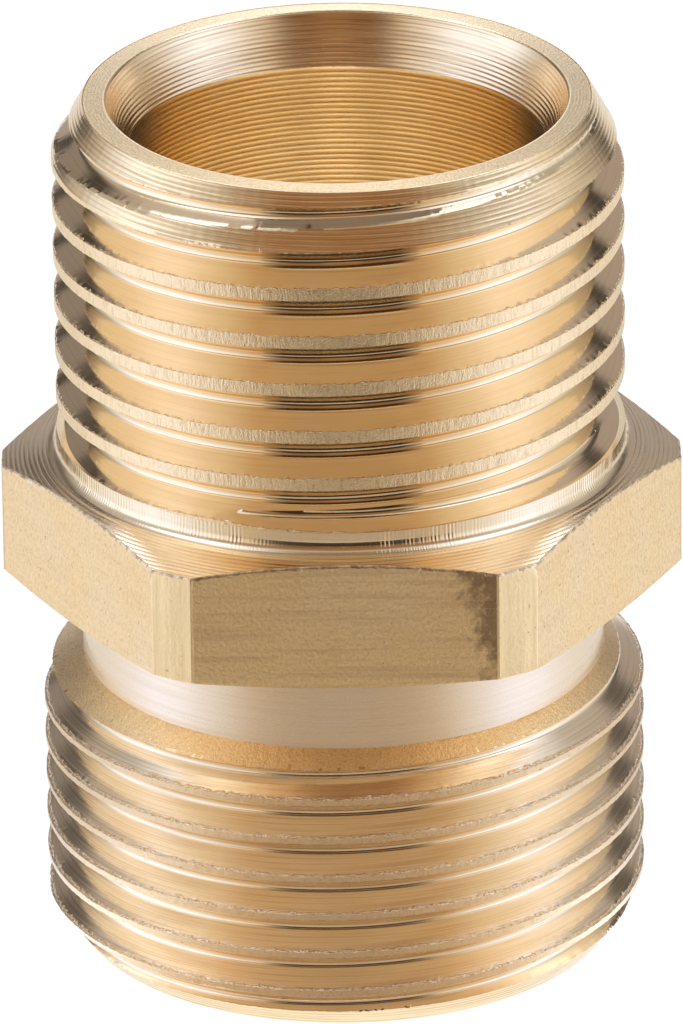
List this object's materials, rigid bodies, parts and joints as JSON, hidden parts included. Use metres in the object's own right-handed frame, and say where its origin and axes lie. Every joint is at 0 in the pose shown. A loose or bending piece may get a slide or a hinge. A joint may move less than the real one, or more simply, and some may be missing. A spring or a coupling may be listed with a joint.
{
  "type": "hex nipple",
  "caption": "Short brass pipe nipple: parallel pipe thread with a cone seat above a wrench hexagon, metric fine thread below a relief neck, bored through.",
  "frame": {"origin": "centre of the metric end face, on the bore axis", "axes": "+Z along the bore from the metric end towards the pipe thread end; -Y out of the middle of the wrench flat that faces the viewer; +X out through a corner of the hexagon"},
  "size_m": [0.0246, 0.022, 0.032],
  "materials": {
    "turned_brass": "fine turned brass, satin, with concentric tool rings",
    "bored_brass": "bored brass with close turning rings",
    "bright_thread_brass": "thread flanks cut to a near mirror, crests rougher with chatter marks",
    "satin_thread_brass": "thread flanks with fine circumferential streaks and slightly torn crests",
    "drawn_brass": "cold-drawn bar surface, matt, with fine grain, specks and a dark stain"
  },
  "bodies": {
    "root": {"seat_ring": "turned_brass", "pipe_end_tube": "bored_brass", "pipe_thread": "bright_thread_brass", "collar": "turned_brass", "hexagon": "drawn_brass", "neck": "turned_brass", "metric_end_tube": "bored_brass", "metric_thread": "satin_thread_brass"}
  },
  "joints": []
}
